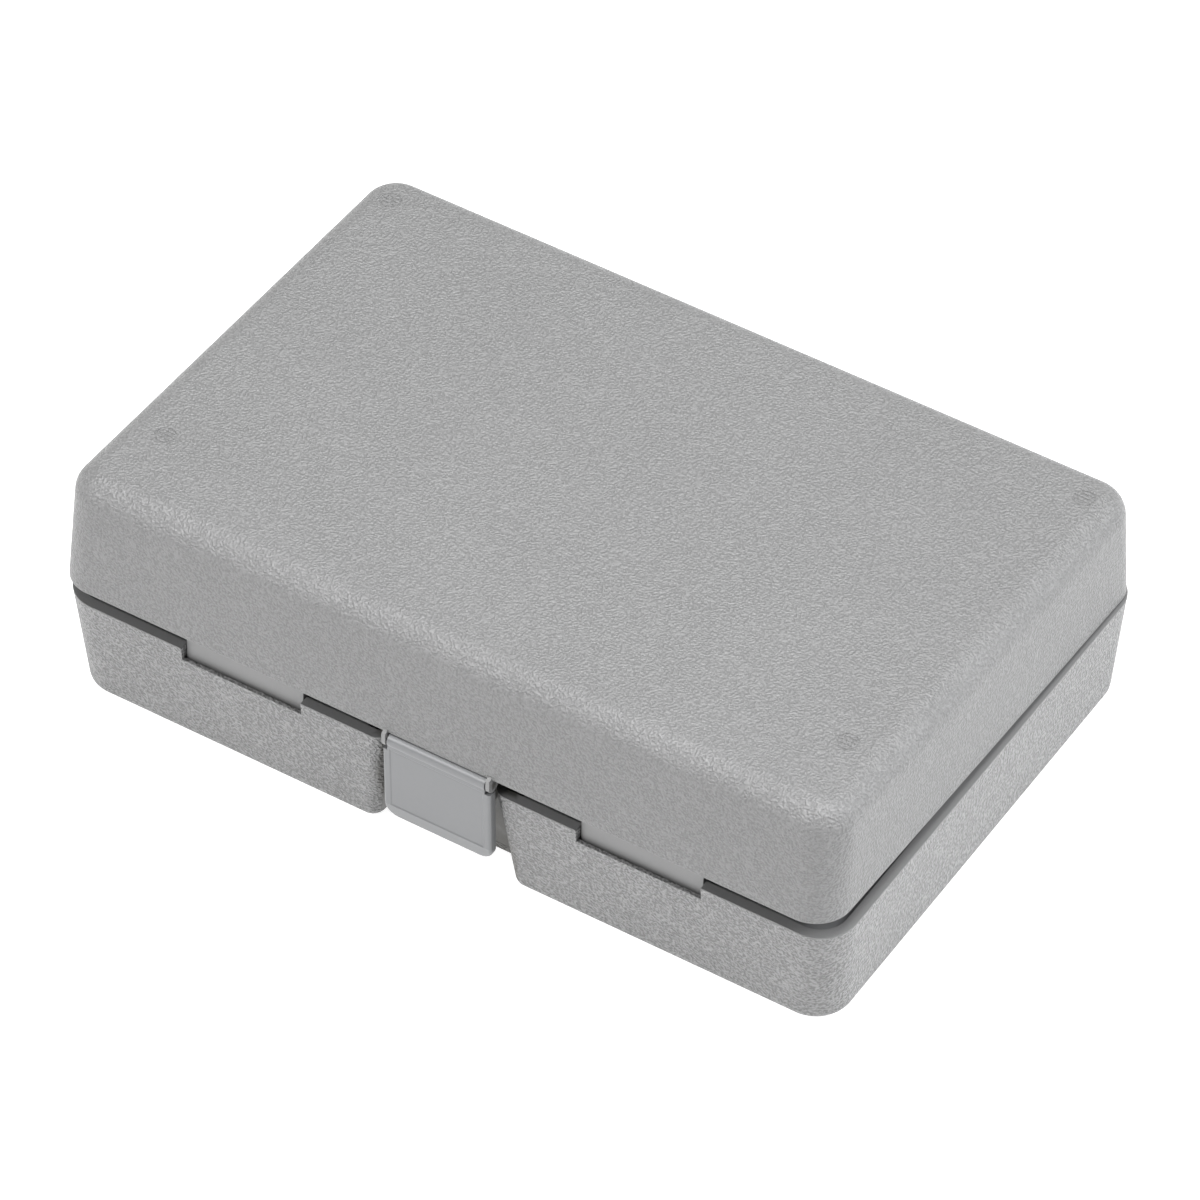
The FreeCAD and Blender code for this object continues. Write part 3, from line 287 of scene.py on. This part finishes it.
def make_mottle():
    """Variation of a material's tone: slow clouds and, half as strong, fine specks."""
    group, inside, out = new_group(
        "moulding mottle",
        [("Vector", "NodeSocketVector", None), ("Colour", "NodeSocketColor", (0.5, 0.5, 0.5, 1.0)),
         ("Amount", "NodeSocketFloat", 0.04)],
        [("Colour", "NodeSocketColor"), ("Cloud", "NodeSocketFloat")],
    )
    cloud = noise(group, inside.outputs["Vector"], MOTTLE_CLOUDS_PER_METRE, detail=2.0)
    specks = noise(group, inside.outputs["Vector"], MOTTLE_SPECKS_PER_METRE, detail=1.0)
    cloud_tone = maths(group, "SUBTRACT", cloud, 0.5)
    speck_tone = maths(group, "SUBTRACT", specks, 0.5)
    tone = plus_share(group, cloud_tone, speck_tone, MOTTLE_SPECK_SHARE)
    gain = plus_share(group, 1.0, tone, inside.outputs["Amount"])
    plug(group, out.inputs["Colour"], scaled(group, inside.outputs["Colour"], gain))
    plug(group, out.inputs["Cloud"], cloud)
    return group


LEATHER_GRAIN = make_leather_grain()
OUTER_SKIN = make_skin_mask()
MOTTLE = make_mottle()
DUST_AND_SHADE_BOX = make_dust_and_shade_box()


# ---------------------------------------------------------------- materials

# Every roughness stays above 0.28, because the denoised render shows a false contour where one crosses 0.27.
LID_GREY = (0.200, 0.200, 0.200, 1.0)
BASE_GREY = (0.251, 0.251, 0.251, 1.0)
SMOOTH_GREY = (0.169, 0.172, 0.177, 1.0)
# The insert's grey is a little darker than its own colour, as painted shade for the gap under the lid.
INSERT_GREY = (0.162, 0.162, 0.166, 1.0)
STEEL_GREY = (0.55, 0.54, 0.52, 1.0)
FOAM_BLACK = (0.030, 0.030, 0.033, 1.0)
# Tint for dust together with painted shade in the latch bay.
DUST_AND_SHADE_TINT = (0.41, 0.395, 0.355, 1.0)


def new_material(name):
    """Material with one shader; returns it with its tree, its shader and its object coordinates."""
    material = bpy.data.materials.new(name)
    material.use_nodes = True
    tree = material.node_tree
    tree.nodes.clear()
    shader = node(tree, "ShaderNodeBsdfPrincipled")
    output = node(tree, "ShaderNodeOutputMaterial")
    tree.links.new(shader.outputs["BSDF"], output.inputs["Surface"])
    place = node(tree, "ShaderNodeTexCoord").outputs["Object"]
    return material, tree, shader, place


def add_bump(tree, shader, height, strength, depth):
    """Bump the shader's normal by a height from 0 to 1; returns the bump node."""
    bump = node(tree, "ShaderNodeBump")
    bump.inputs["Strength"].default_value = strength
    bump.inputs["Distance"].default_value = depth
    plug(tree, bump.inputs["Height"], height)
    tree.links.new(bump.outputs["Normal"], shader.inputs["Normal"])
    return bump


# Where the outer skin lies on each half, and how its grain looks: the valleys are darker by the shade's share,
# which is painted shade in the grain's hollows, and the smooth places are darker than the skin by the painted
# inside shade's, which is painted shade for the shadowed gap under the lid.
BASE_SHAPE = {
    "Half_Width": 80.55 * MM, "Half_Depth": 52.6 * MM, "Corner": 7.2 * MM, "Flat_Level": BASE_HEIGHT,
    "End_Slope": math.tan(math.radians(3.8)), "Front_Slope": math.tan(math.radians(4.0)),
}
LID_SHAPE = {
    "Half_Width": 80.0 * MM, "Half_Depth": 53.4 * MM, "Corner": 6.9 * MM, "Flat_Level": LID_HEIGHT,
    "End_Slope": math.tan(math.radians(1.6)), "Front_Slope": math.tan(math.radians(5.5)),
}
BASE_GRAIN = {"spacing": 0.50 * MM, "shade": 0.40, "depth": 0.22 * MM, "painted_inside_shade": 0.20}
LID_GRAIN = {"spacing": 0.45 * MM, "shade": 0.21, "depth": 0.15 * MM, "painted_inside_shade": 0.06}
GRAIN_STRETCH = 0.9
GRAINED_MOTTLE = 0.10
SATIN_ROUGHNESS = 0.34
SKIN_ROUGHER = 0.06
VALLEY_ROUGHER = 0.06
# Sharp edges of the mouldings catch the light as if they were rounded by this radius.
EDGE_ROUND = 0.12 * MM
EDGE_SAMPLES = 4
# The latch bay gathers dust, and its recess is also darkened there as painted shade.
LATCH_BAY = {"Middle": (1.0 * MM, -45.5 * MM, 11.0 * MM), "Half_Size": (14.6 * MM, 6.0 * MM, 14.0 * MM)}


def down_from_rim(tree, place):
    """Coordinates on the base, with the height counted down from its rim."""
    flipped = vector_maths(tree, "MULTIPLY", place, (1.0, 1.0, -1.0))
    return vector_maths(tree, "ADD", flipped, (0.0, 0.0, BASE_HEIGHT))


def level_with_lid(tree, place):
    """Coordinates on the levelled lid, from its rim plane and its middle."""
    moved = vector_maths(tree, "SUBTRACT", place, tuple(HINGE))
    turned = node(tree, "ShaderNodeVectorRotate", rotation_type="X_AXIS")
    plug(tree, turned.inputs["Vector"], moved)
    turned.inputs["Angle"].default_value = LID_AJAR
    return vector_maths(tree, "ADD", turned.outputs["Vector"], (0.0, LID_MIDDLE_AHEAD, 0.0))


def dusted_and_shaded(tree, place, colour, dust_and_shade_box):
    """The colour, multiplied by the tint of dust and painted shade inside the given box."""
    dust_and_shade = place_group(tree, DUST_AND_SHADE_BOX, Vector=place, **dust_and_shade_box)
    made = node(tree, "ShaderNodeMix", data_type="RGBA", blend_type="MULTIPLY")
    factor, first, second = made.inputs[0], made.inputs[6], made.inputs[7]
    plug(tree, factor, dust_and_shade.outputs["Mask"])
    plug(tree, first, colour)
    plug(tree, second, DUST_AND_SHADE_TINT)
    return made.outputs[2]


def grained_plastic(name, colour, own_place, shape, grain_look, dust_and_shade_box=None):
    """Grey moulded plastic: leather grain with painted shade in its valleys on the outer skin, satin with
    painted inside shade elsewhere, and dust with painted shade in the given box.
    """
    material, tree, shader, place = new_material(name)
    skin = place_group(tree, OUTER_SKIN, Vector=own_place(tree, place), **shape)
    mask = skin.outputs["Mask"]
    grain = place_group(tree, LEATHER_GRAIN, Vector=place, Spacing=grain_look["spacing"], Stretch=GRAIN_STRETCH)
    mottle = place_group(tree, MOTTLE, Vector=place, Colour=colour, Amount=GRAINED_MOTTLE)
    valley = maths(tree, "MULTIPLY", grain.outputs["Valley"], mask)
    inner = maths(tree, "SUBTRACT", 1.0, mask)
    # Painted shade: the grain's valleys are darkened by the shade's share.
    shade = minus_share(tree, 1.0, valley, grain_look["shade"])
    # Painted shade: the inside, rim, hinges and tongues are darkened, standing in for the shadow in the gap
    # under the lid.
    shade = minus_share(tree, shade, inner, grain_look["painted_inside_shade"])
    tone = scaled(tree, mottle.outputs["Colour"], shade)
    # Dust and painted shade in the given box.
    if dust_and_shade_box:
        tone = dusted_and_shaded(tree, place, tone, dust_and_shade_box)
    plug(tree, shader.inputs["Base Color"], tone)
    roughness = plus_share(tree, SATIN_ROUGHNESS, mask, SKIN_ROUGHER)
    roughness = plus_share(tree, roughness, grain.outputs["Valley"], VALLEY_ROUGHER)
    plug(tree, shader.inputs["Roughness"], roughness)
    height = maths(tree, "MULTIPLY", grain.outputs["Height"], mask)
    bump = add_bump(tree, shader, height, strength=1.0, depth=grain_look["depth"])
    edge = node(tree, "ShaderNodeBevel", samples=EDGE_SAMPLES)
    edge.inputs["Radius"].default_value = EDGE_ROUND
    tree.links.new(edge.outputs["Normal"], bump.inputs["Normal"])
    return material


SMOOTH_MOTTLE = 0.08
CLOUD_ROUGHER = 0.08
RIPPLES_PER_METRE = 150.0


def smooth_plastic(name, colour, roughness, ripple_depth):
    """Satin moulded plastic with a slight ripple from the mould's polish."""
    material, tree, shader, place = new_material(name)
    mottle = place_group(tree, MOTTLE, Vector=place, Colour=colour, Amount=SMOOTH_MOTTLE)
    plug(tree, shader.inputs["Base Color"], mottle.outputs["Colour"])
    plug(tree, shader.inputs["Roughness"], plus_share(tree, roughness, mottle.outputs["Cloud"], CLOUD_ROUGHER))
    add_bump(tree, shader, noise(tree, place, RIPPLES_PER_METRE), strength=0.5, depth=ripple_depth)
    return material


# Lines of the wire drawing, per metre along the pin and across it.
DRAWN_LINES = (60.0, 9000.0, 9000.0)
STEEL_MOTTLE = 0.2
STEEL_ROUGHNESS = 0.29
LINES_ROUGHER = 0.15


def drawn_steel(name):
    """Drawn wire pin: fine lines along its axis."""
    material, tree, shader, place = new_material(name)
    lines = noise(tree, vector_maths(tree, "MULTIPLY", place, DRAWN_LINES), 1.0, detail=2.0)
    mottle = place_group(tree, MOTTLE, Vector=place, Colour=STEEL_GREY, Amount=STEEL_MOTTLE)
    plug(tree, shader.inputs["Base Color"], mottle.outputs["Colour"])
    shader.inputs["Metallic"].default_value = 1.0
    plug(tree, shader.inputs["Roughness"], plus_share(tree, STEEL_ROUGHNESS, lines, LINES_ROUGHER))
    add_bump(tree, shader, lines, strength=0.4, depth=0.01 * MM)
    return material


FOAM_CELLS_PER_METRE = 1700.0
FOAM_MOTTLE = 0.5
WALL_LEVELS = (0.15, 0.6)
# The cells' middles are darkest, painted shade in the open pores, and their walls are brighter and rougher by
# these shares.
PORE_PAINTED_SHADE, WALL_BRIGHTER = 0.45, 0.75
PORE_ROUGHNESS, WALL_ROUGHER = 0.85, 0.1


def open_foam(name):
    """Charcoal foam with open cells of about half a millimetre."""
    material, tree, shader, place = new_material(name)
    cells = node(tree, "ShaderNodeTexVoronoi", feature="F1")
    plug(tree, cells.inputs["Vector"], place)
    cells.inputs["Scale"].default_value = FOAM_CELLS_PER_METRE
    walls = ramp(tree, cells.outputs["Distance"], *WALL_LEVELS)
    mottle = place_group(tree, MOTTLE, Vector=place, Colour=FOAM_BLACK, Amount=FOAM_MOTTLE)
    # Painted shade: the pores' middles are darkened.
    shade = plus_share(tree, PORE_PAINTED_SHADE, walls, WALL_BRIGHTER)
    plug(tree, shader.inputs["Base Color"], scaled(tree, mottle.outputs["Colour"], shade))
    plug(tree, shader.inputs["Roughness"], plus_share(tree, PORE_ROUGHNESS, walls, WALL_ROUGHER))
    shader.inputs["Sheen Weight"].default_value = 0.12
    shader.inputs["Sheen Roughness"].default_value = 0.5
    add_bump(tree, shader, walls, strength=0.9, depth=0.3 * MM)
    return material


BASE_PLASTIC = grained_plastic("base grained plastic", BASE_GREY, down_from_rim, BASE_SHAPE, BASE_GRAIN,
                               dust_and_shade_box=LATCH_BAY)
LID_PLASTIC = grained_plastic("lid grained plastic", LID_GREY, level_with_lid, LID_SHAPE, LID_GRAIN)
TAB_PLASTIC = smooth_plastic("tab plastic", SMOOTH_GREY, roughness=0.29, ripple_depth=0.02 * MM)
INSERT_PLASTIC = smooth_plastic("insert plastic", INSERT_GREY, roughness=0.36, ripple_depth=0.03 * MM)
STEEL = drawn_steel("drawn steel")
FOAM = open_foam("charcoal foam")

FINISHES = {
    "base_shell": BASE_PLASTIC,
    "lid_shell": LID_PLASTIC,
    "base_tray": INSERT_PLASTIC,
    "lid_liner": INSERT_PLASTIC,
    "latch_tab": TAB_PLASTIC,
    "latch_pin": STEEL,
    "hinge_pin_left": STEEL,
    "hinge_pin_right": STEEL,
    "lid_pad": FOAM,
}
for name, material in FINISHES.items():
    slots = NODES[name].data.materials
    slots.clear()
    slots.append(material)


# ---------------------------------------------------------------- foam pad

PAD_DEPTH = 57.0 * MM
PAD_THICK = 4.0 * MM
PAD_CORNER = 8.5 * MM
PAD_CORNER_STEPS = 8
# The roof of the liner's recess, above the hinge on the levelled lid.
RECESS_ROOF = 10.95 * MM
# The pad's middle, in mm behind the base's middle.
PAD_MIDDLE = 4.5
# Up the pad's edge, each ring has its level as a share of the thickness and its inset in mm.
EDGE_RINGS = [(-0.5, 0.8), (-0.47, 0.35), (-0.38, 0.1), (-0.2, 0.0), (0.0, 0.05), (0.25, 0.0), (0.42, 0.06),
              (0.5, 0.25)]
# Over the crowned face, each ring has its size as a share of the face's and its bulge in mm.
FACE_RINGS = ((0.93, 0.03), (0.8, 0.05), (0.55, 0.06), (0.25, 0.06))


def rounded_outline(width, depth, corner, steps):
    """Points round a rectangle with round corners, so many steps to a corner."""
    points = []
    for quarter, (right, up) in enumerate(((1, 1), (-1, 1), (-1, -1), (1, -1))):
        for step in range(steps + 1):
            angle = (quarter + step / steps) * math.pi / 2
            points.append((right * (width / 2 - corner) + corner * math.cos(angle),
                           up * (depth / 2 - corner) + corner * math.sin(angle)))
    return points


def join_rings(mesh, first, second):
    """A band of faces between two rings of as many points."""
    count = len(first)
    for k in range(count):
        after = (k + 1) % count
        mesh.faces.new((first[k], first[after], second[after], second[k]))


def make_foam_pad():
    """Die-cut foam pad: softly crowned face, edges drawn in a little where the knife pressed."""
    low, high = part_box("lid_pad")
    width = high[0] - low[0]
    middle = Vector((0.0, (PAD_MIDDLE - HINGE_BACK) * MM, RECESS_ROOF - PAD_THICK / 2))
    mesh = bmesh.new()
    rings = []
    for level, inset in EDGE_RINGS:
        inset *= MM
        outline = rounded_outline(width - 2 * inset, PAD_DEPTH - 2 * inset, PAD_CORNER - inset, PAD_CORNER_STEPS)
        rings.append([mesh.verts.new((x, y, level * PAD_THICK)) for x, y in outline])
    for lower, upper in zip(rings, rings[1:]):
        join_rings(mesh, lower, upper)
    previous = rings[0]
    for share, bulge in FACE_RINGS:
        level = -0.5 * PAD_THICK - bulge * MM
        ring = [mesh.verts.new((v.co.x * share, v.co.y * share, level)) for v in rings[0]]
        join_rings(mesh, ring, previous)
        previous = ring
    mesh.faces.new(list(reversed(previous)))
    mesh.faces.new(rings[-1])
    bmesh.ops.recalc_face_normals(mesh, faces=mesh.faces)
    data = bpy.data.meshes.new("foam_pad")
    mesh.to_mesh(data)
    mesh.free()
    ajar = Matrix.Rotation(-LID_AJAR, 4, "X")
    data.transform(Matrix.Translation(HINGE) @ ajar @ Matrix.Translation(middle))
    for face in data.polygons:
        face.use_smooth = True
    data.materials.append(FOAM)
    pad = bpy.data.objects.new("foam_pad", data)
    bpy.context.collection.objects.link(pad)
    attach(pad, "lid")
    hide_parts("lid_pad")


make_foam_pad()


# ---------------------------------------------------------------- floor, light and camera

WHITE = (1.0, 1.0, 1.0)
COOL_WHITE = (0.97, 0.985, 1.0)
FLOOR_SIZE = 6.0
FLOOR_DROP = 0.2 * MM
FLOOR_TONE, FLOOR_CLOUD_SHARE = 0.51, 0.02
FLOOR_CLOUDS_PER_METRE = 3.0
# The floor glows a little, which keeps it as white as the photograph's, with no shadow round the case.
FLOOR_GLOW = 0.9
WORLD_STRENGTH = 0.05
# Square soft lights: name, place and target in metres, side in metres, power in watts, colour.
LIGHTS = (
    ("overhead", (0.0, 0.0, 1.3), (0.0, 0.0, 0.0), 0.9, 25.2, WHITE),
    ("front left", (-0.55, -1.0, 0.82), (0.0, 0.0, 0.02), 0.6, 10.9, WHITE),
    ("right", (1.0, 0.1, 1.1), (0.0, 0.0, 0.02), 0.7, 12.5, COOL_WHITE),
    ("rear right", (1.15, 0.75, 0.6), (0.0, 0.0, 0.02), 0.6, 8.8, COOL_WHITE),
)


def make_floor():
    """Pale plane just under the case, part of the stage and not of the case."""
    bpy.ops.mesh.primitive_plane_add(size=FLOOR_SIZE, location=(0.0, 0.0, -FLOOR_DROP))
    floor = bpy.context.object
    floor.name = "floor"
    material, tree, shader, place = new_material("pale floor")
    cloud = noise(tree, place, FLOOR_CLOUDS_PER_METRE, detail=2.0)
    tone = plus_share(tree, FLOOR_TONE, cloud, FLOOR_CLOUD_SHARE)
    colour = node(tree, "ShaderNodeCombineColor")
    for socket in colour.inputs:
        plug(tree, socket, tone)
    plug(tree, shader.inputs["Base Color"], colour.outputs["Color"])
    shader.inputs["Roughness"].default_value = 0.9
    shader.inputs["Specular IOR Level"].default_value = 0.1
    shader.inputs["Emission Color"].default_value = (*WHITE, 1.0)
    shader.inputs["Emission Strength"].default_value = FLOOR_GLOW
    floor.data.materials.append(material)


def make_world():
    world = bpy.data.worlds.new("studio")
    world.use_nodes = True
    background = world.node_tree.nodes["Background"]
    background.inputs["Color"].default_value = (*WHITE, 1.0)
    background.inputs["Strength"].default_value = WORLD_STRENGTH
    bpy.context.scene.world = world


def make_light(name, location, target, side, power, colour):
    """Square soft light that faces its target."""
    data = bpy.data.lights.new(name, "AREA")
    data.shape = "RECTANGLE"
    data.size = data.size_y = side
    data.energy = power
    data.color = colour
    lamp = bpy.data.objects.new(name, data)
    lamp.location = location
    lamp.rotation_euler = (Vector(target) - Vector(location)).to_track_quat("-Z", "Y").to_euler()
    bpy.context.collection.objects.link(lamp)


# The photograph's camera, solved from the case's corners: angles in degrees, lengths in mm, focus in pixels.
AZIMUTH, ELEVATION, ROLL = 32.5, 44.7, -0.04
AIM = (0.0, -0.5, 20.0)
DISTANCE, SHIFT_ACROSS, SHIFT_UP = 1387.05, 0.28, 0.19
PHOTO_SIDE, FOCUS = 1200.0, 7819.6
SENSOR = 36.0


def make_camera():
    """Camera where the photograph's stood, with the photograph's frame."""
    azimuth, elevation, roll = (math.radians(angle) for angle in (AZIMUTH, ELEVATION, ROLL))
    level = math.cos(elevation)
    back = Vector((math.sin(azimuth) * level, -math.cos(azimuth) * level, math.sin(elevation)))
    right = Vector((math.cos(azimuth), math.sin(azimuth), 0.0))
    up = back.cross(right)
    across = math.cos(roll) * right + math.sin(roll) * up
    upward = -math.sin(roll) * right + math.cos(roll) * up
    place = (Vector(AIM) + back * DISTANCE + across * SHIFT_ACROSS + upward * SHIFT_UP) * MM
    data = bpy.data.cameras.new("camera")
    data.sensor_width = SENSOR
    data.sensor_fit = "HORIZONTAL"
    data.lens = FOCUS / PHOTO_SIDE * SENSOR
    data.clip_start, data.clip_end = 0.05, 20.0
    camera = bpy.data.objects.new("camera", data)
    turn = Matrix((across, upward, back)).transposed().to_4x4()
    camera.matrix_world = Matrix.Translation(place) @ turn
    bpy.context.collection.objects.link(camera)
    bpy.context.scene.camera = camera


make_floor()
make_world()
for light in LIGHTS:
    make_light(*light)
make_camera()
bpy.context.scene.view_settings.view_transform = "Standard"
